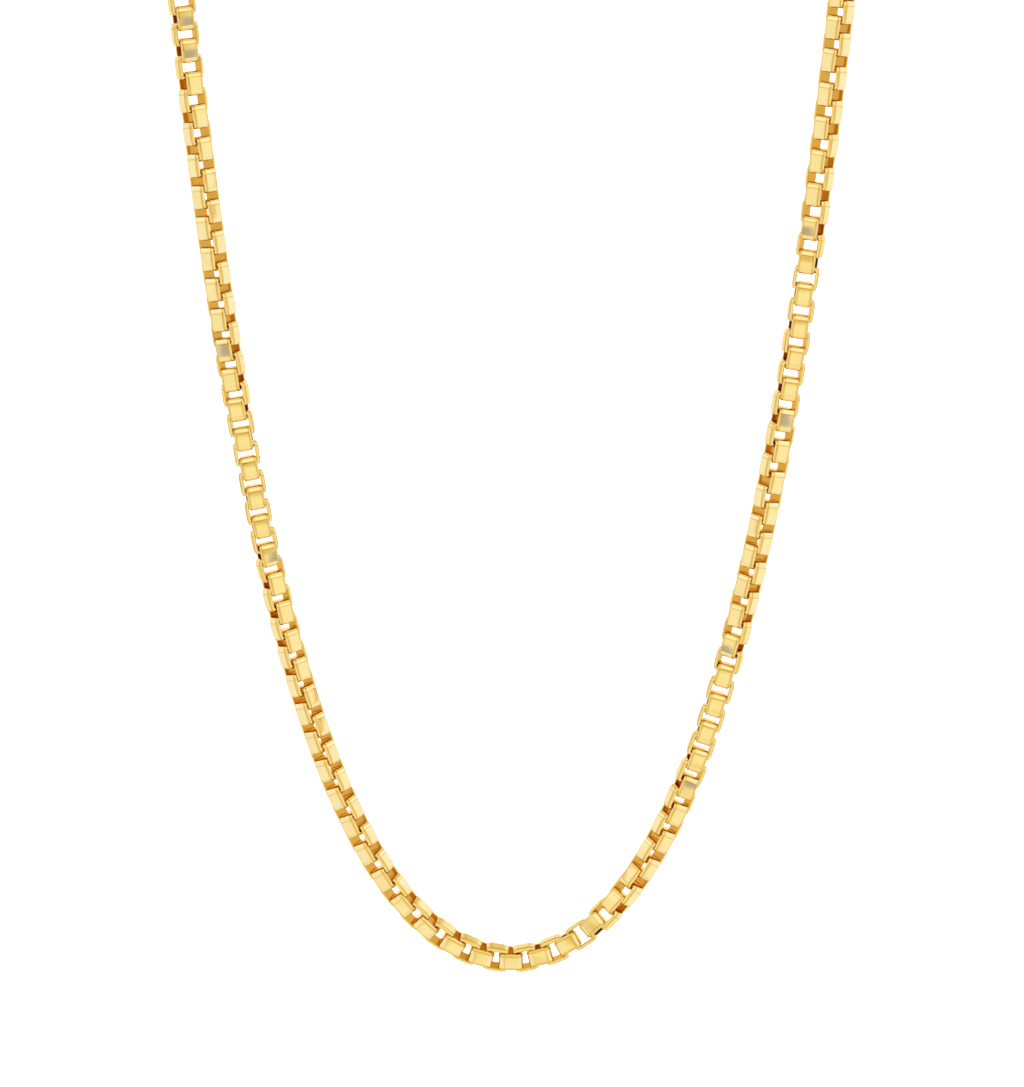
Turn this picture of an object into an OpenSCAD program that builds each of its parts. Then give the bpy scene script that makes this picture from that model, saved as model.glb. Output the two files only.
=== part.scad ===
// Box chain necklace: square links bent from flat strip, each turned a quarter
// turn against the last, hanging as a deep U in front and closed at the nape.
// The origin is the middle of the neck loop, +Z is up and the U hangs towards -Y.

/* [Link] */
// Length of a link along the chain
link_l = 3.36; // [3.2:0.02:3.8]
// Width of the flat strip that a link is bent from
strip_w = 2.1; // [1.7:0.05:2.6]
// Thickness of the strip
strip_t = 0.43; // [0.3:0.01:0.5]
// Outer radius of a link's four bends
bend_r = 0.55; // [0.5:0.05:0.8]
// Bevel along the outer edges of the strip
strip_bevel = 0.16; // [0.1:0.01:0.2]
// Free play between the ends of two links that hold each other
link_play = 0.36; // [0.3:0.01:0.4]
// Free play beside the strip of one link inside the ring of the next
side_play = 0.32; // [0.3:0.02:0.4]

/* [Hang] */
// Distance between the two strands at the top of the U
strand_gap = 91; // [80:1:110]
// Depth of the U, from the strands' tops to its lowest point
hang_depth = 138; // [120:1:160]
// Run of the hanging curve: small is a narrow bottom, large a wide one
hang_run = 15.6; // [14:0.1:20]
// Radius by which each strand turns back over the shoulder
shoulder_r = 20; // [18:0.5:26]
// Reach of the loop behind the shoulders, to the nape
nape_reach = 39; // [34:1:52]

/* [Clasp] */
// Length of the clasp over its body
clasp_l = 10; // [8.5:0.25:12]
// Width of the clasp's body
clasp_w = 5.6; // [5:0.2:6.4]
// Thickness of the clasp
clasp_t = 1.6; // [1.2:0.1:2]
// Width of the metal round the clasp's opening
clasp_rim = 1.2; // [1:0.05:1.4]
// Outer diameter of the small eye on the clasp's tail
eye_d = 3.4; // [3.1:0.1:3.8]
// Diameter of the hole through that eye
eye_hole = 1.8; // [1.6:0.05:2]
// Diameter of a jump ring over its wire
ring_d = 5.4; // [5.2:0.1:6]
// Diameter of a jump ring's wire
ring_wire = 0.8; // [0.6:0.05:0.85]

/* [Hidden] */
gold = "#E6BE5A";

// Gap that a jump ring keeps to the bars it passes
slack = 0.15;

// Width of a link: its ring just takes the strip of the next one, edge on
link_w = strip_w + 2 * side_play + 2 * strip_t;

// Roll of the chain along its hanging part, read off link by link. Rows run from
// the top of the left strand to the top of the right one. Share is the distance
// from the lowest point as a share of one side's hanging length, and roll is how
// far the even links' flat faces have turned from the front to the inside of the U.
// Columns: share, roll in degrees
ROLL = [
    [-0.92, -162], [-0.87, -148], [-0.82, -136], [-0.77, -130], [-0.71, -123], [-0.66, -115],
    [-0.60, -97], [-0.55, -83], [-0.49, -83], [-0.45, -71], [-0.41, -61], [-0.36, -52],
    [-0.33, -44], [-0.27, -38], [-0.18, -31], [-0.09, -21], [-0.04, -13], [0.00, -11],
    [0.05, 2], [0.08, 17], [0.11, 33], [0.14, 46], [0.18, 57], [0.22, 69],
    [0.25, 80], [0.28, 89], [0.34, 91], [0.37, 110], [0.41, 124], [0.44, 131],
    [0.47, 137], [0.54, 150], [0.58, 161], [0.62, 172], [0.66, 172], [0.69, 177],
    [0.72, 184], [0.75, 200], [0.80, 211], [0.86, 216], [0.92, 221]
];

// Drift of the links along the hanging part: how far each lies from its even place,
// because the links hang drawn apart in one stretch and closer in the next. Share
// is as above, and drift is a share of a link's length, towards the right strand.
// Columns: share, drift
DRIFT = [
    [-0.94, 0.15], [-0.90, 0.26], [-0.86, 0.37], [-0.82, 0.41], [-0.76, 0.42], [-0.70, 0.40],
    [-0.65, 0.35], [-0.57, 0.26], [-0.53, 0.21], [-0.48, 0.10], [-0.45, 0.04], [-0.39, -0.04],
    [-0.31, -0.16], [-0.24, -0.22], [-0.17, -0.18], [-0.06, 0.01], [-0.03, 0.01], [0.00, -0.03],
    [0.03, -0.08], [0.06, -0.08], [0.11, 0.01], [0.15, 0.08], [0.18, 0.10], [0.20, 0.09],
    [0.24, 0.02], [0.29, -0.10], [0.33, -0.16], [0.45, -0.15], [0.51, -0.18], [0.57, -0.12],
    [0.68, -0.04], [0.73, 0.07], [0.79, 0.30], [0.86, 0.53], [0.91, 0.71], [0.95, 0.77]
];

// Plane of the hanging U, and the height of its lowest point
front_y = -(shoulder_r + nape_reach) / 2;
low_z = -hang_depth - shoulder_r;

function cosh(u) = (exp(u) + exp(-u)) / 2;
function sinh(u) = (exp(u) - exp(-u)) / 2;
function unit(v) = v / norm(v);

// Jump rings: radius to the middle of the wire, and radius of the open middle
ring_r = (ring_d - ring_wire) / 2;
ring_in = ring_r - ring_wire / 2;

// How far the wire stays from the middle of a bar that is 2 * half wide, so that
// the ring's curve clears the bar's corners too
function seat(half) = ring_in - sqrt(pow(ring_in - slack, 2) - half * half);

// Places of the wire in the last link, in the clasp's opening and in its tail eye
link_wire = link_l / 2 - strip_t - seat(strip_w / 2) - ring_wire / 2;
hook_wire = clasp_l / 2 - clasp_rim - seat(clasp_t / 2) - ring_wire / 2;
eye_x = clasp_l / 2 + eye_hole / 2;
tail_wire = eye_x + eye_hole / 2 - seat(clasp_t / 2) - ring_wire / 2;
clasp_reach = (tail_wire + hook_wire) / 2;
clasp_shift = (tail_wire - hook_wire) / 2;

// One side of the hanging curve is x = run * u, with its height a share of cosh(u) - 1
top_u = strand_gap / 2 / hang_run;
rise = hang_depth / (cosh(top_u) - 1);
function hang_at(u) = [hang_run * u, front_y, low_z + rise * (cosh(u) - 1)];

// Direction of a strand at its top, and the direction inwards, square to it
top_dir = unit([hang_run, 0, rise * sinh(top_u)]);
top_in = [-top_dir[2], 0, top_dir[0]];
top_point = hang_at(top_u);
back_dir = [0, 1, 0];
shoulder_end = top_point + shoulder_r * (top_dir + back_dir);

// The nape's middle runs straight, as long as the clasp and a jump ring need
end_room = clasp_reach / -top_in[0] + 2 * ring_r + link_wire;
nape_half = shoulder_end[0] / -top_in[0] - end_room;

function shoulder_at(a) = top_point + shoulder_r * (top_dir * sin(a) + back_dir * (1 - cos(a)));
function nape_at(a) = shoulder_end + back_dir * nape_reach * sin(a) + top_in * nape_half * (1 - cos(a));

// Steps into which each stretch of the route is cut
hang_n = 320;
shoulder_n = 60;
nape_n = 120;

// Right half of the route from the lowest point to the nape. Each row holds a
// point and the outward side of the chain there, which starts at the front.
ROUTE = [
    for (i = [0 : hang_n - 1]) [hang_at(top_u * i / hang_n), -back_dir],
    for (i = [0 : shoulder_n - 1]) let (a = 90 * i / shoulder_n)
        [shoulder_at(a), top_dir * sin(a) - back_dir * cos(a)],
    for (i = [0 : nape_n]) [nape_at(90 * i / nape_n), top_dir],
    [nape_at(90) + top_in * end_room, top_dir]
];

// Distance along the route at each of its rows
ALONG = [for (i = 0, d = 0; i < len(ROUTE);
    d = d + (i + 1 < len(ROUTE) ? norm(ROUTE[i + 1][0] - ROUTE[i][0]) : 0), i = i + 1) d];
half_l = ALONG[len(ALONG) - 1];
hang_l = ALONG[hang_n];

// Tables for lookup: distance along the route against one coordinate
POINTS = [for (axis = [0 : 2]) [for (i = [0 : len(ROUTE) - 1]) [ALONG[i], ROUTE[i][0][axis]]]];
SIDES = [for (axis = [0 : 2]) [for (i = [0 : len(ROUTE) - 1]) [ALONG[i], ROUTE[i][1][axis]]]];
function point_at(d) = [for (axis = [0 : 2]) lookup(d, POINTS[axis])];
function side_at(d) = [for (axis = [0 : 2]) lookup(d, SIDES[axis])];

// The left half is the right one mirrored, with distances below zero
function mirrored(v, d) = d < 0 ? [-v[0], v[1], v[2]] : v;
function route(d) = mirrored(point_at(abs(d)), d);

// Direction of the chain, taken across half a link
aim = link_l / 4;
function along(d) = unit(route(d + aim) - route(d - aim));

// Links on each side of the lowest one, and the even step that fills the route
chain_l = half_l - end_room;
side_n = floor(chain_l / (link_l - 2 * strip_t - link_play));
step = chain_l / side_n;

// At both ends the last link's ring lies level, so the chain turns to that
end_turn = 180 + (side_n % 2) * 90;
TURNS = concat(
    [[-half_l, -end_turn]],
    [for (row = ROLL) [row[0] * hang_l, row[1]]],
    [[half_l, end_turn]]
);
function roll_at(d) = lookup(d, TURNS);

// Place of a link along the route: its even place and its drift, none at the ends
DRIFTS = concat(
    [[-chain_l, 0]],
    [for (row = DRIFT) [row[0] * hang_l, row[1] * link_l]],
    [[chain_l, 0]]
);
function place_of(i) = i * step + lookup(i * step, DRIFTS);

echo(links = 2 * side_n + 1, step = step, hang = hang_l, length = 2 * half_l);

// Outline of a rectangle w by l with corners of radius r, each cut into n straight
// pieces: one corner's points, then the same points flipped into the other three
function corner(w, l, r, n) = [for (i = [0 : n])
    [w / 2 - r + r * cos(90 * i / n), l / 2 - r + r * sin(90 * i / n)]];
function flip(points, x, y) = [for (p = points) [p[0] * x, p[1] * y]];
function turned(points) = [for (i = [len(points) - 1 : -1 : 0]) points[i]];
function rounded(w, l, r, n) = let (q = corner(w, l, r, n)) concat(
    q, turned(flip(q, -1, 1)), flip(q, -1, -1), turned(flip(q, 1, -1)));

// Rectangle with its four corners cut off
module cut_square(w, l) polygon(rounded(w, l, strip_bevel, 1));

// One link, its ring in the XZ plane and the chain running along Z
module link() {
    intersection() {
        rotate([90, 0, 0]) linear_extrude(strip_w, center = true) difference() {
            polygon(rounded(link_w, link_l, bend_r, 2));
            square([link_w - 2 * strip_t, link_l - 2 * strip_t], center = true);
        }
        linear_extrude(link_l, center = true) cut_square(link_w, strip_w);
        rotate([90, 0, 90]) linear_extrude(link_w, center = true) cut_square(strip_w, link_l);
    }
}

// Stands a link on the route, with its axes along its width, its strip and the chain
module place_link(i) {
    d = place_of(i);
    run = along(d);
    side = mirrored(side_at(abs(d)), d);
    out = unit(side - run * (side * run));
    turn = roll_at(d) + 90 * abs(i % 2);
    wide = out * cos(turn) + cross(out, run) * sin(turn);
    flat = cross(run, wide);
    at = route(d);
    multmatrix([for (k = [0 : 2]) [wide[k], flat[k], run[k], at[k]]]) link();
}

module chain() color(gold) for (i = [-side_n : side_n]) place_link(i);

// Middle of the clasp: where both jump rings' lines meet its own level line
nape = ROUTE[len(ROUTE) - 1][0];
clasp_at = [clasp_shift, nape[1], nape[2] + clasp_reach * top_in[2] / top_in[0]];

// The thumb lever is a round boss on the clasp's upper edge, nearer its tail
lever_d = clasp_w / 3;
lever_x = clasp_l / 5;

module stadium(l, w) {
    square([l - w, w], center = true);
    for (x = [-1, 1]) translate([x * (l - w) / 2, 0]) circle(d = w, $fn = 48);
}

// Closed clasp, hook opening towards +X and tail eye towards -X, with a thumb lever
module clasp() {
    color(gold) translate(clasp_at) rotate([90, 0, 0])
        linear_extrude(clasp_t, center = true) difference() {
            union() {
                stadium(clasp_l, clasp_w);
                translate([-eye_x, 0]) circle(d = eye_d, $fn = 32);
                translate([-lever_x, clasp_w / 2]) circle(d = lever_d, $fn = 32);
            }
            stadium(clasp_l - 2 * clasp_rim, clasp_w - 2 * clasp_rim);
            translate([-eye_x, 0]) circle(d = eye_hole, $fn = 32);
        }
}

// Jump ring between the clasp and the last link, side 1 on the right, -1 on the left
module jump_ring(side) {
    at = nape - top_in * (clasp_reach / -top_in[0] + ring_r);
    tilt = atan2(top_in[2], -top_in[0]);
    color(gold) translate([at[0] * side, at[1], at[2]]) rotate([0, side * tilt, 0])
        rotate_extrude($fn = 48) translate([ring_r, 0]) circle(d = ring_wire, $fn = 24);
}
module clasp_ring() jump_ring(-1);
module end_ring() jump_ring(1);

chain();
clasp();
clasp_ring();
end_ring();
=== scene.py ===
import math

import bpy
import mathutils
import numpy as np
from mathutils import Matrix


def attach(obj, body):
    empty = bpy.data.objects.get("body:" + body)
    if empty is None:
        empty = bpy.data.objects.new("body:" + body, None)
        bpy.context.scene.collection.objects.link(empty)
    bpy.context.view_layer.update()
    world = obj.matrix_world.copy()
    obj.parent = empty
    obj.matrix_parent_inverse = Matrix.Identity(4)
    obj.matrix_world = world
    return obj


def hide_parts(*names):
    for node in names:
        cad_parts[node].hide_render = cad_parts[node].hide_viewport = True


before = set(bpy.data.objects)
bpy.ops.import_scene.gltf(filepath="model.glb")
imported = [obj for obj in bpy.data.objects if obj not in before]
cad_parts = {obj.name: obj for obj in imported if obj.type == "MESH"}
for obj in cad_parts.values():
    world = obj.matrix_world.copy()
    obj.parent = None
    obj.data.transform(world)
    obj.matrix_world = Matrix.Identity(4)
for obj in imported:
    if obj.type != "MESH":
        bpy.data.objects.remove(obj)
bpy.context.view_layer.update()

# Chain. 229 links, each a square ring bent from flat gold strip, hold one another and
# are turned a quarter turn link by link. They are soldered shut one by one, drawn
# through a square die and polished as one length. All lengths are in metres.
link_l, link_w = 0.0034, 0.00348
strip_w, strip_t = 0.0024, 0.00053
bend_r, bulge = 0.0008, 0.00012
edge_round, inner_inset = 0.00034, 0.0001

# The solids' own links are leaner, to stay clear of one another, and set every place
cad_link_l, cad_strip_w, cad_strip_t, link_play = 0.00336, 0.0021, 0.00043, 0.00036

# The hanging U, the bends over the shoulders, and what closes the chain at the nape
strand_gap, hang_depth, hang_run = 0.091, 0.138, 0.0156
shoulder_r, nape_reach = 0.020, 0.039
clasp_l, clasp_t, clasp_rim, eye_hole = 0.010, 0.0016, 0.0012, 0.0018
ring_d, ring_wire, slack = 0.0054, 0.0008, 0.00015

# Roll of the chain, as share of one side's hanging length against degrees
roll_rows = np.array([
    (-0.92, -162), (-0.87, -148), (-0.82, -136), (-0.77, -130), (-0.71, -123), (-0.66, -115),
    (-0.60, -97), (-0.55, -83), (-0.49, -83), (-0.45, -71), (-0.41, -61), (-0.36, -52),
    (-0.33, -44), (-0.27, -38), (-0.18, -31), (-0.09, -21), (-0.04, -13), (0.00, -11),
    (0.05, 2), (0.08, 17), (0.11, 33), (0.14, 46), (0.18, 57), (0.22, 69),
    (0.25, 80), (0.28, 89), (0.34, 91), (0.37, 110), (0.41, 124), (0.44, 131),
    (0.47, 137), (0.54, 150), (0.58, 161), (0.62, 172), (0.66, 172), (0.69, 177),
    (0.72, 184), (0.75, 200), (0.80, 211), (0.86, 216), (0.92, 221)])

# Drift of the links from their even places, as share of one side's hanging length
# against share of a link's length
drift_rows = np.array([
    (-0.94, 0.15), (-0.90, 0.26), (-0.86, 0.37), (-0.82, 0.41), (-0.76, 0.42), (-0.70, 0.40),
    (-0.65, 0.35), (-0.57, 0.26), (-0.53, 0.21), (-0.48, 0.10), (-0.45, 0.04), (-0.39, -0.04),
    (-0.31, -0.16), (-0.24, -0.22), (-0.17, -0.18), (-0.06, 0.01), (-0.03, 0.01), (0.00, -0.03),
    (0.03, -0.08), (0.06, -0.08), (0.11, 0.01), (0.15, 0.08), (0.18, 0.10), (0.20, 0.09),
    (0.24, 0.02), (0.29, -0.10), (0.33, -0.16), (0.45, -0.15), (0.51, -0.18), (0.57, -0.12),
    (0.68, -0.04), (0.73, 0.07), (0.79, 0.30), (0.86, 0.53), (0.91, 0.71), (0.95, 0.77)])

front_y = -(shoulder_r + nape_reach) / 2
low_z = -hang_depth - shoulder_r
ring_r = (ring_d - ring_wire) / 2
ring_in = ring_r - ring_wire / 2


def unit(v):
    """Each row of v divided by its own length."""
    return v / np.linalg.norm(v, axis=-1, keepdims=True)


def seat(half):
    """How far a jump ring's wire stays from the middle of a bar that is 2 * half wide:
    the sagitta of the ring's open circle over the bar, with the slack taken off."""
    return ring_in - math.sqrt((ring_in - slack) ** 2 - half ** 2)


link_wire = cad_link_l / 2 - cad_strip_t - seat(cad_strip_w / 2) - ring_wire / 2
hook_wire = clasp_l / 2 - clasp_rim - seat(clasp_t / 2) - ring_wire / 2
eye_x = clasp_l / 2 + eye_hole / 2
tail_wire = eye_x + eye_hole / 2 - seat(clasp_t / 2) - ring_wire / 2
clasp_reach = (tail_wire + hook_wire) / 2
clasp_shift = (tail_wire - hook_wire) / 2

top_u = strand_gap / 2 / hang_run
rise = hang_depth / (math.cosh(top_u) - 1)
top_dir = unit(np.array([hang_run, 0, rise * math.sinh(top_u)]))
top_in = np.array([-top_dir[2], 0, top_dir[0]])
back = np.array([0.0, 1.0, 0.0])
top_point = np.array([strand_gap / 2, front_y, low_z + hang_depth])
shoulder_end = top_point + shoulder_r * (top_dir + back)
end_room = clasp_reach / -top_in[0] + 2 * ring_r + link_wire
nape_half = shoulder_end[0] / -top_in[0] - end_room
hang_steps, shoulder_steps, nape_steps = 320, 60, 120


def half_route():
    """Right half of the chain's route with the outward side of the chain there: a hanging
    curve whose height is a share of cosh(u) - 1, a quarter circle back over the shoulder,
    a quarter ellipse round to the nape, and a straight stretch inwards to the clasp."""
    u = np.linspace(0, top_u, hang_steps, endpoint=False)
    hang = np.stack([hang_run * u, np.full_like(u, front_y), low_z + rise * (np.cosh(u) - 1)], 1)
    a = np.radians(np.linspace(0, 90, shoulder_steps, endpoint=False))[:, None]
    shoulder = top_point + shoulder_r * (top_dir * np.sin(a) + back * (1 - np.cos(a)))
    b = np.radians(np.linspace(0, 90, nape_steps + 1))[:, None]
    nape = shoulder_end + back * nape_reach * np.sin(b) + top_in * nape_half * (1 - np.cos(b))
    points = np.concatenate([hang, shoulder, nape, nape[-1:] + top_in * end_room])
    sides = np.concatenate([
        np.broadcast_to(-back, hang.shape), top_dir * np.sin(a) - back * np.cos(a),
        np.broadcast_to(top_dir, (len(nape) + 1, 3))])
    steps = np.linalg.norm(np.diff(points, axis=0), axis=1)
    return points, sides, np.concatenate([[0], np.cumsum(steps)])


route_points, route_sides, route_along = half_route()
half_l, hang_l = route_along[-1], route_along[hang_steps]


def on_route(rows, d):
    """Rows looked up at the lengths d, with x mirrored where d is on the left, below zero."""
    found = np.stack([np.interp(np.abs(d), route_along, rows[:, k]) for k in range(3)], 1)
    found[d < 0, 0] *= -1
    return found


def link_frames():
    """Place and axes of every link. The solids' link gives the number of links and their
    even places, and the drift is added. The chain's run is taken across half a link, and
    the link's width starts at the outward side and turns round the run by the roll."""
    chain_l = half_l - end_room
    side_n = math.floor(chain_l / (cad_link_l - 2 * cad_strip_t - link_play))
    number = np.arange(-side_n, side_n + 1)
    even = number * chain_l / side_n
    drift_at = np.concatenate([[-chain_l], drift_rows[:, 0] * hang_l, [chain_l]])
    drift_by = np.concatenate([[0], drift_rows[:, 1] * cad_link_l, [0]])
    d = even + np.interp(even, drift_at, drift_by)
    ahead, behind = d + cad_link_l / 4, d - cad_link_l / 4
    run = unit(on_route(route_points, ahead) - on_route(route_points, behind))
    side = on_route(route_sides, d)
    out = unit(side - run * np.sum(side * run, 1, keepdims=True))
    end_turn = 180 + side_n % 2 * 90
    turn_at = np.concatenate([[-half_l], roll_rows[:, 0] * hang_l, [half_l]])
    turn_by = np.concatenate([[-end_turn], roll_rows[:, 1], [end_turn]])
    turn = np.radians(np.interp(d, turn_at, turn_by) + 90 * (number % 2))[:, None]
    wide = out * np.cos(turn) + np.cross(out, run) * np.sin(turn)
    return on_route(route_points, d), np.stack([wide, np.cross(run, wide), run], 1)


def ring_surface(centres, angles, radius, profile, tilts):
    """A ring bent round the Y axis: station k lies at its bend's centre plus radius, one for
    all or one a station, in the direction of its angle. The profile's points are (across,
    out), added along Y and along that direction, and tilts are normals in those terms."""
    away = np.stack([np.cos(angles), np.zeros_like(angles), np.sin(angles)], 1)[:, None]
    middle = np.stack([centres[:, 0], np.zeros_like(angles), centres[:, 1]], 1)[:, None]
    points = middle + away * (radius + profile[:, 1, None]) + back * profile[:, 0, None]
    return points, away * tilts[:, 1, None] + back * tilts[:, 0, None]


def ring_quads(stations, around):
    """Quads of a grid that closes both ways, as four numbers of its corners each."""
    k, j = np.meshgrid(np.arange(stations), np.arange(around), indexing="ij")
    k1, j1 = (k + 1) % stations, (j + 1) % around
    corners = k * around + j, k * around + j1, k1 * around + j1, k1 * around + j
    return np.stack(corners, -1).reshape(-1, 4)


def gold_piece(name, points, normals, quads, material, body="root"):
    """A mesh of its points, its quads and the normal at every corner of each quad."""
    mesh = bpy.data.meshes.new(name)
    mesh.vertices.add(len(points))
    mesh.vertices.foreach_set("co", points.ravel())
    mesh.loops.add(quads.size)
    mesh.loops.foreach_set("vertex_index", quads.ravel())
    mesh.polygons.add(len(quads))
    mesh.polygons.foreach_set("loop_start", np.arange(0, quads.size, 4))
    mesh.update(calc_edges=True)
    mesh.normals_split_custom_set(normals.reshape(-1, 3).tolist())
    mesh.materials.append(material)
    piece = bpy.data.objects.new(name, mesh)
    bpy.context.scene.collection.objects.link(piece)
    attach(piece, body)
    return piece


class Tint:
    """A value in a node tree. An operator adds its Math node, mixed blends two colours by
    a share, and node adds any other node: the node's settings are set first, then the
    values or links of its sockets."""

    def __init__(self, tree, socket=None):
        self.tree, self.socket = tree, socket

    def node(self, kind, inputs, output=0, **settings):
        made = self.tree.nodes.new(kind)
        for key, value in settings.items():
            setattr(made, key, value)
        for key, value in inputs.items():
            if isinstance(value, Tint):
                self.tree.links.new(value.socket, made.inputs[key])
            else:
                made.inputs[key].default_value = value
        return Tint(self.tree, made.outputs[output] if len(made.outputs) else None)

    def math(self, operation, *values):
        return self.node("ShaderNodeMath", dict(enumerate(values)), operation=operation)

    def mixed(self, share, first, second):
        return self.node("ShaderNodeMix", {0: share, 6: first, 7: second}, 2, data_type="RGBA")

    def __add__(self, other):
        return self.math("ADD", self, other)

    def __sub__(self, other):
        return self.math("SUBTRACT", self, other)

    def __rsub__(self, other):
        return self.math("SUBTRACT", other, self)

    def __mul__(self, other):
        return self.math("MULTIPLY", self, other)

    __radd__, __rmul__ = __add__, __mul__

    def __abs__(self):
        return self.math("ABSOLUTE", self)


# The deeper gold serves both the random clouds and the painted shade on the links
pale_gold, cloud_and_shade_gold = (0.95, 0.75, 0.285, 1), (0.79, 0.485, 0.055, 1)
# Painted sheen: the paler gold that the colour turns to where it is seen at a slant
sheen_gold, edge_gold = (0.96, 0.82, 0.48, 1), (1.0, 0.82, 0.50, 1)
# Painted shade: the gold of the strip's inner side, in the hollows between links
inner_shade_gold = (0.68, 0.36, 0.06, 1)
cloud_scale, cloud_from, mark_scale, mark_rough, slant_gain = 260, 0.4, 9000, 0.08, 2.2

# Painted shade on the strip map that every link has: the deep lines, the deep edges and the deeper
# inner side
end_at, end_narrow, end_shade_strength = 0.97, 7, 0.85
side_at, side_narrow = 1.1, 3.2
edge_from, edge_full, inner_from, inner_full = 1.45, 1.85, 1.99, 2.01


def polished_gold(name, polish, shade, relief, with_painted_shade=False):
    """Polished gold: it drifts a little towards a deeper gold in soft clouds and turns
    paler where it is seen at a slant, which is a painted sheen. Fine rubbing marks break
    its polish, and relief gives their depth in metres. On links, whose strip map has u
    along and v across, shade is painted: a fine deep line, 1 - abs(distance * narrowness),
    runs along a flat's two long edges and over its upper end at u = 1, the strip's edges
    are deep, and its inner side deeper."""
    material = bpy.data.materials.new(name)
    material.use_nodes = True
    tree = material.node_tree
    tree.nodes.clear()
    start = Tint(tree)
    place = start.node("ShaderNodeTexCoord", {}, "Object")
    clouds = start.node(
        "ShaderNodeTexNoise", {"Vector": place, "Scale": cloud_scale, "Detail": 3}, "Fac")
    marks = start.node(
        "ShaderNodeTexNoise", {"Vector": place, "Scale": mark_scale, "Detail": 4}, "Fac")
    deep = start.math("MAXIMUM", (clouds - cloud_from) * shade, 0)
    if with_painted_shade:
        strip = start.node("ShaderNodeUVMap", {}, uv_map="strip")
        u = start.node("ShaderNodeSeparateXYZ", {"Vector": strip})
        v = abs(Tint(tree, u.socket.node.outputs[1]))
        # Painted shade: a deep line over each flat's upper end and along its long edges
        end_shade_line = (1.0 - abs((u - end_at) * end_narrow)) * end_shade_strength
        side_shade_line = 1.0 - abs((v - side_at) * side_narrow)
        deep = start.math("MAXIMUM", deep, start.math("MAXIMUM", end_shade_line, side_shade_line))
        # Painted shade: the strip's rounded edges turn a deep gold
        edges = start.node(
            "ShaderNodeMapRange", {"Value": v, "From Min": edge_from, "From Max": edge_full})
        deep = start.math("MAXIMUM", deep, edges)
    # Painted sheen: the colour turns paler where the surface is seen at a slant
    slant = start.node("ShaderNodeLayerWeight", {"Blend": 0.5}, "Facing") * slant_gain
    colour = start.mixed(start.math("MINIMUM", slant, 1.0), pale_gold, sheen_gold)
    colour = start.mixed(deep, colour, cloud_and_shade_gold)
    if with_painted_shade:
        # Painted shade: the strip's inner side turns a deeper gold
        inner_side_shade = start.node(
            "ShaderNodeMapRange", {"Value": v, "From Min": inner_from, "From Max": inner_full})
        colour = start.mixed(inner_side_shade, colour, inner_shade_gold)
    bump = start.node("ShaderNodeBump", {"Height": marks, "Distance": relief, "Strength": 0.5})
    gold = start.node("ShaderNodeBsdfPrincipled", {
        "Base Color": colour, "Metallic": 1.0, "Roughness": polish + marks * mark_rough,
        "Specular Tint": edge_gold, "Normal": bump})
    start.node("ShaderNodeOutputMaterial", {"Surface": gold})
    return material


link_gold = polished_gold("link_gold", polish=0.07, shade=0.5, relief=0.000003, with_painted_shade=True)

# Degrees by which a flat's normals lean out at its ends and a bend's middle towards the
# link's end, and shares by which the strip's face and edges lean across it
crown, bend_lean = 5, 7
dome, tuck = 0.03, 0.15


def link_outline():
    """One link's ring, with the normals at its quads' corners. The profile is the strip,
    flat outside with both edges rounded. A bend has three stations, of which the middle
    one stands out by bulge, and a flat is the one row of quads between two bends. A quad
    has the normals of its profile face's first and last point at its two stations."""
    half_w, half_t = strip_w / 2, strip_t / 2
    flat, inner, widest = half_w - edge_round, half_w - inner_inset, -half_t / 5
    profile = np.array([
        (flat, half_t), (half_w, widest), (inner, -half_t),
        (-inner, -half_t), (-half_w, widest), (-flat, half_t)])
    tilts = np.array([
        [(dome, 1), (1, 0)], [(1, 0), (1, -tuck)], [(0, -1), (0, -1)],
        [(-1, -tuck), (-1, 0)], [(-1, 0), (-dome, 1)], [(-dome, 1), (dome, 1)]])
    corner_x, corner_z = link_w / 2 - bend_r, link_l / 2 - bend_r
    corners = np.array([(1, 1), (-1, 1), (-1, -1), (1, -1)]) * (corner_x, corner_z)
    centres = np.repeat(corners, 3, axis=0)
    turn = np.arange(4)[:, None] * 90
    angles = np.radians(turn + (0, 45, 90)).ravel()
    towards = [(crown, 45 + bend_lean, 90 - crown), (crown, 45 - bend_lean, 90 - crown)] * 2
    facing = np.radians(turn + towards).ravel()
    radius = bend_r - half_t + np.tile([0, bulge, 0], 4)[:, None, None]
    points, _ = ring_surface(centres, angles, radius, profile, tilts[:, 0])
    first, last = (
        ring_surface(centres, facing, radius, profile, unit(tilts[:, end]))[1] for end in (0, 1))
    next_first, next_last = np.roll(first, -1, axis=0), np.roll(last, -1, axis=0)
    return points, np.stack([first, last, next_last, next_first], 2)


def chain_mesh(places, axes):
    """Every link's grid is the one link turned by its axes and moved to its place. Each
    link leans a degree or so its own way, as links that hang loose in one another do."""
    link_points, link_normals = link_outline()
    shape = link_points.shape[:2]
    count = len(places)
    lean = np.random.default_rng(11).normal(0, math.radians(0.9), (count, 3))
    one = np.ones(count)
    turn = np.stack([
        one, -lean[:, 2], lean[:, 1], lean[:, 2], one, -lean[:, 0],
        -lean[:, 1], lean[:, 0], one], 1).reshape(-1, 3, 3)
    axes = unit(np.einsum("nij,njk->nik", turn, axes))
    points = np.einsum("pi,nij->npj", link_points.reshape(-1, 3), axes) + places[:, None]
    normals = np.einsum("pi,nij->npj", link_normals.reshape(-1, 3), axes)
    quads = ring_quads(*shape) + np.arange(count)[:, None, None] * (shape[0] * shape[1])
    return points.reshape(-1, 3), normals.reshape(-1, 3), quads.reshape(-1, 4)


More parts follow.
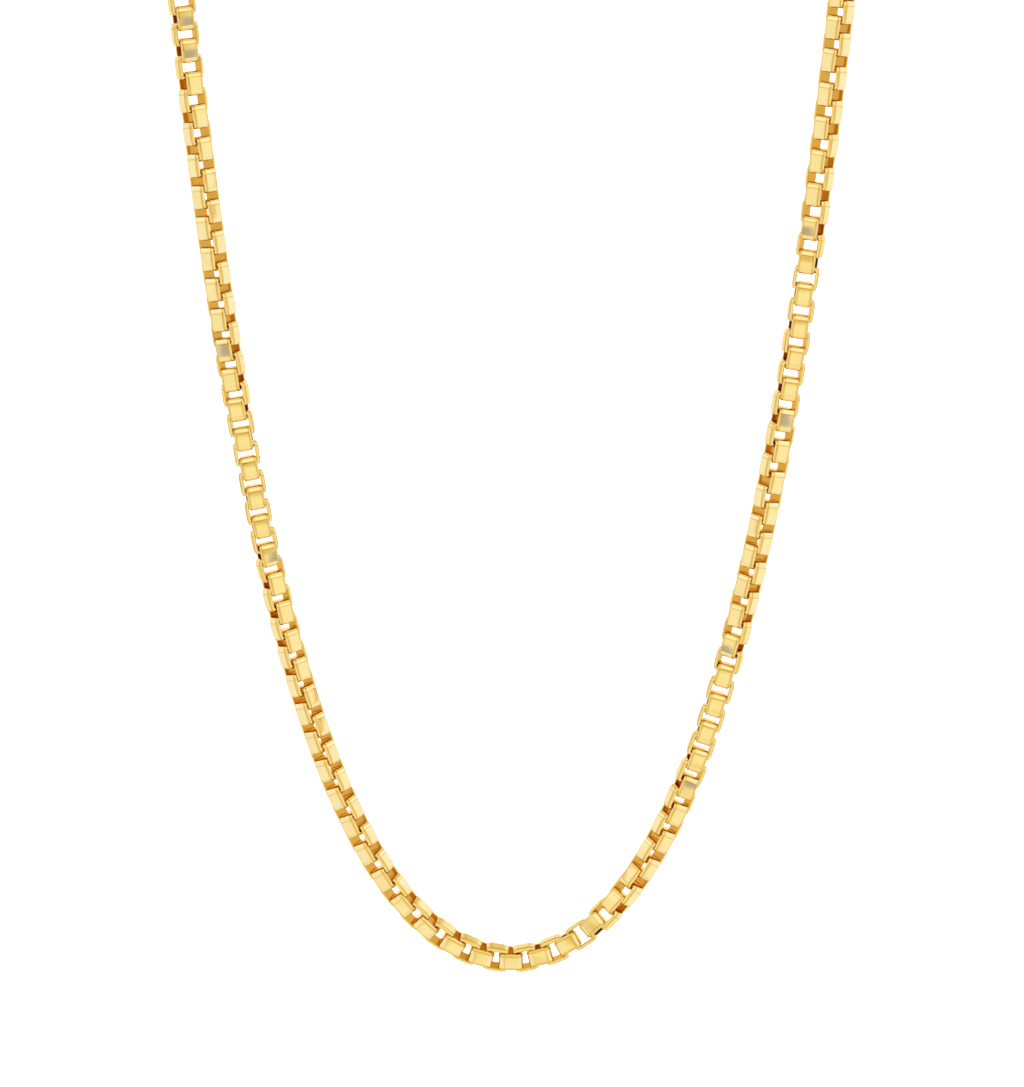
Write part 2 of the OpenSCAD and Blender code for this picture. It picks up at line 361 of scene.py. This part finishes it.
def strip_map(rising):
    """Corners of every quad on the strip's own map. Along the ring a flat runs from -1 to
    1 and the half bends beside it on to 1.6. On the link's two sides u = 1 is the upper
    end: the ring falls in its rows 4 to 6, which are turned round, and rising is 1 or -1
    for a link. Across the strip the outer flat runs from -1 to 1, its rounded edges reach
    1.5, the rest of the edges 2, and the inner side lies beyond 2."""
    way = np.where(np.isin(np.arange(12), (4, 5, 6)), -1, 1)
    from_u, to_u = np.tile([1, -1.6, -1], 4) * way, np.tile([1.6, -1, 1], 4) * way
    from_v = np.array([1, 1.5, 2, -2, -1.5, -1])
    to_v = np.array([1.5, 2, 3, -1.5, -1, 1])
    u = np.stack([from_u, from_u, to_u, to_u], 1)[:, None]
    v = np.stack([from_v, to_v, to_v, from_v], 1)
    corners = np.stack(np.broadcast_arrays(u, v), -1).reshape(1, -1, 2)
    signs = np.stack([rising, np.ones_like(rising)], 1)
    return (corners * signs[:, None]).reshape(-1, 2)


link_places, link_axes = link_frames()
chain = gold_piece("box_links", *chain_mesh(link_places, link_axes), link_gold)
strip = chain.data.uv_layers.new(name="strip")
# rising puts u = 1 at each link's upper end, where the painted shade line lies
rising = np.where(link_axes[:, 2, 2] > 0, 1, -1)
strip.uv.foreach_set("vector", strip_map(rising).ravel())
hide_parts("chain")


# Clasp. One plain closed clasp cast in gold: a long oval ring that the end ring hangs in,
# a small eye at its tail for the other jump ring, and a thumb lever on its upper edge.
# Its edges are rounded and polished by hand.
clasp_w, eye_d = 0.0056, 0.0034
lever_r, lever_inwards = clasp_w / 6, 0.00019
body_round, eye_round, lever_round = 0.0005, 0.00035, 0.0004
bow_steps, disc_steps, corner_steps = 25, 32, 4
clasp_gold = polished_gold("clasp_gold", polish=0.09, shade=0.5, relief=0.000003)
clasp_place = route_points[-1] + [clasp_shift, 0, clasp_reach * top_in[2] / top_in[0]]


def rounded_bar(across, out, corner):
    """Profile of a bar across wide and out high: quarter circles of radius corner at its
    four corners, with their normals, which start at the upper right and turn clockwise."""
    quarter = np.linspace(0, 90, corner_steps + 1)
    angle = np.radians(90 - np.arange(4)[:, None] * 90 - quarter).ravel()
    tilts = np.stack([np.cos(angle), np.sin(angle)], 1)
    half = across / 2 - corner, out / 2 - corner
    corners = np.array([(1, 1), (1, -1), (-1, -1), (-1, 1)]) * half
    return np.repeat(corners, len(quarter), axis=0) + corner * tilts, tilts


def bar_ring(centres, starts, turn, steps, radius, across, out, corner):
    """A rounded bar carried round one bend after another, each with its centre, its
    starting angle in degrees and as much turn as the others."""
    angles = np.radians(np.array(starts)[:, None] + np.linspace(0, turn, steps)).ravel()
    middles = np.repeat(np.array(centres, float), steps, axis=0)
    points, normals = ring_surface(middles, angles, radius, *rounded_bar(across, out, corner))
    quads = ring_quads(len(angles), points.shape[1])
    return points.reshape(-1, 3), normals.reshape(-1, 3), quads


def joined(parts):
    """Several surfaces as one: their points, normals and quads, renumbered."""
    starts = np.cumsum([0] + [len(points) for points, _, _ in parts])
    return (np.concatenate([p for p, _, _ in parts]), np.concatenate([n for _, n, _ in parts]),
            np.concatenate([q + s for (_, _, q), s in zip(parts, starts)]))


def clasp_surface():
    """Oval ring, tail eye and lever, each a rounded bar carried round its own bends. The
    lever's bar reaches past the middle of its ring, which makes it a solid disc."""
    bow = (clasp_l - clasp_w) / 2
    body = bar_ring([(bow, 0), (-bow, 0)], [-90, 90], 180, bow_steps,
                    (clasp_w - clasp_rim) / 2, clasp_t, clasp_rim, body_round)
    most = 360 - 360 / (disc_steps + 1)
    eye = bar_ring([(-eye_x, 0)], [0], most, disc_steps,
                   (eye_d + eye_hole) / 4, clasp_t, (eye_d - eye_hole) / 2, eye_round)
    lever = bar_ring([(-clasp_l / 5, clasp_w / 2)], [0], most, disc_steps,
                     lever_r / 2 - lever_inwards, clasp_t, lever_r + lever_round, lever_round)
    points, normals, quads = joined([body, eye, lever])
    return points + clasp_place, normals[quads], quads


clasp = gold_piece("clasp_closed", *clasp_surface(), clasp_gold)
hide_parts("clasp")


# Jump rings. Round gold wire bent into a ring and soldered shut: one joins the clasp's
# tail eye to the chain's left end, the other hangs in the clasp at its right end.
ring_gold = polished_gold("ring_gold", polish=0.08, shade=0.5, relief=0.000003)
ring_steps = 48


def jump_ring(side):
    """Wire of round section carried round a circle, tilted to the chain's line at its end."""
    points, normals, quads = bar_ring([(0, 0)], [0], 360 - 360 / ring_steps, ring_steps, ring_r,
                                      ring_wire, ring_wire, ring_wire / 2)
    points, normals = points[:, [0, 2, 1]] * [1, 1, -1], normals[:, [0, 2, 1]] * [1, 1, -1]
    tilt = side * math.atan2(top_in[2], -top_in[0])
    cos, sin = math.cos(tilt), math.sin(tilt)
    turn = np.array([(cos, 0, -sin), (0, 1, 0), (sin, 0, cos)])
    middle = route_points[-1] - top_in * (clasp_reach / -top_in[0] + ring_r)
    return points @ turn + middle * [side, 1, 1], (normals @ turn)[quads], quads


for side, node in ((-1, "clasp_ring"), (1, "end_ring")):
    ring = gold_piece(node + "_wire", *jump_ring(side), ring_gold)
    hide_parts(node)


# Studio. A plain white floor lies far below. The light that the gold mirrors is soft and
# white all round, with golden screens near the camera, a cool lamp overhead and two grey
# gaps beside the camera, whose dark face is in it too.
scene = bpy.context.scene
scene.view_settings.view_transform = "Standard"
scene.cycles.max_bounces = scene.cycles.glossy_bounces = 16

white, low_tone, lamp_tone = (1, 1, 1, 1), (1.0, 0.92, 0.72, 1), (1.0, 0.99, 1.25, 1)
screen_tone, gap_tone = (0.76, 0.65, 0.36, 1), (1.0, 1.0, 1.45, 1)
all_round, lamp_more, left_less, gap_less, low_less = 1.055, 0.17, 0.04, 0.5, 0.06
gap_left, gap_right, gap_z = 0.78, 0.55, -0.15


def studio_light(world):
    """Light by direction, from steps in its height z, its sideways x, its depth y, below
    zero on the camera's side, and its bearing atan2(x, -y) from the camera. It is cooler
    and brighter overhead, a little weaker on the left and warmer far below. The golden
    screens lie above, below and over the camera, and the gaps left and right of it."""
    world.use_nodes = True
    tree = world.node_tree
    tree.nodes.clear()
    start = Tint(tree)
    where = start.node("ShaderNodeTexCoord", {}, "Generated")
    split = start.node("ShaderNodeSeparateXYZ", {"Vector": where})
    x, y, z = (Tint(tree, split.socket.node.outputs[k]) for k in range(3))

    def soft_step(value, none, full):
        return start.node("ShaderNodeMapRange", {"Value": value, "From Min": none, "From Max": full},
                          interpolation_type="SMOOTHSTEP")

    top, below = soft_step(z, 0.35, 0.6), soft_step(z, -0.75, -0.95)
    left_half = soft_step(x, -0.3, -0.6)
    lamp_share = top * soft_step(y, 0.75, 0.45)
    bearing = start.math("ARCTAN2", x, y * -1)
    middle = soft_step(abs(bearing), 0.7, 0.35)
    above = soft_step(z, -0.06, 0.06) * soft_step(z, 0.42, 0.22) * middle
    under = soft_step(z, -0.26, -0.38) * soft_step(z, -0.65, -0.5) * 0.4 * middle
    over = soft_step(abs(x), 0.6, 0.35) * soft_step(y, -0.45, -0.15) * top
    screens = start.math("MAXIMUM", start.math("MAXIMUM", above, under), over)
    apart = start.math("MINIMUM", abs(bearing + gap_left), abs(bearing - gap_right))
    gaps = soft_step(apart, 0.14, 0.05) * soft_step(abs(z - gap_z), 0.25, 0.15)
    strength = all_round + lamp_share * lamp_more - left_half * left_less
    strength = strength * (1.0 - gaps * gap_less) * (1.0 - below * low_less)
    colour = white
    for share, tone in ((below, low_tone), (lamp_share, lamp_tone),
                        (screens, screen_tone), (gaps, gap_tone)):
        colour = start.mixed(share, colour, tone)
    light = start.node("ShaderNodeBackground", {"Color": colour, "Strength": strength})
    start.node("ShaderNodeOutputWorld", {"Surface": light})


scene.world = bpy.data.worlds.new("studio")
studio_light(scene.world)


def plain_surface(name, colour, points, faces):
    """A flat stage piece of one plain material."""
    material = bpy.data.materials.new(name)
    material.use_nodes = True
    shader = material.node_tree.nodes["Principled BSDF"]
    shader.inputs["Base Color"].default_value = (*colour, 1)
    shader.inputs["Roughness"].default_value = 0.9
    mesh = bpy.data.meshes.new(name)
    mesh.from_pydata(points, [], faces)
    mesh.materials.append(material)
    surface = bpy.data.objects.new(name, mesh)
    scene.collection.objects.link(surface)
    return surface


floor_z, floor_half = -0.32, 40.0
floor = plain_surface("floor", (0.95, 0.95, 0.95), [
    (-floor_half, -floor_half, floor_z), (floor_half, -floor_half, floor_z),
    (floor_half, floor_half, floor_z), (-floor_half, floor_half, floor_z)], [(0, 1, 2, 3)])
floor.visible_glossy = False


def aimed(thing, place, target):
    """Stands a light or the camera at its place, looking along -Z at the target."""
    line = mathutils.Vector(target) - mathutils.Vector(place)
    thing.location = place
    thing.rotation_euler = line.to_track_quat("-Z", "Y").to_euler()


floor_lamp = bpy.data.lights.new("floor_lamp", "SUN")
floor_lamp.energy, floor_lamp.angle = 2.0, 0.6
lamp = bpy.data.objects.new("floor_lamp", floor_lamp)
aimed(lamp, (0, 1, 3), (0, 0.6, 0))
lamp.visible_glossy = False
scene.collection.objects.link(lamp)

# Camera. It stands 0.7 m in front, 8 degrees above the middle of what it sees, and its
# frame is 150.5 mm high there.
camera_aim = (0.00007, front_y, -0.09935)
camera_far, camera_up, frame_high = 0.7, math.radians(8), 0.1505
camera_data = bpy.data.cameras.new("camera")
camera_data.sensor_fit = "VERTICAL"
camera_data.sensor_height = 24
camera_data.lens = camera_data.sensor_height * camera_far / frame_high
camera_data.clip_start = 0.01
camera = bpy.data.objects.new("camera", camera_data)
camera_place = (camera_aim[0], camera_aim[1] - camera_far * math.cos(camera_up),
                camera_aim[2] + camera_far * math.sin(camera_up))
aimed(camera, camera_place, camera_aim)
scene.collection.objects.link(camera)
scene.camera = camera

# The camera's dark face, a disc round the lens that only the gold mirrors
face_r, face_back = 0.03, 0.02
angle = np.radians(np.arange(0, 360, 15))
rim = np.stack([np.cos(angle) * face_r, np.full_like(angle, -face_back), np.sin(angle) * face_r], 1)
dark = plain_surface("camera_face", (0.03, 0.03, 0.03), (rim + camera_place).tolist(),
                     [tuple(range(len(angle)))])
dark.visible_camera = dark.visible_shadow = dark.visible_diffuse = False
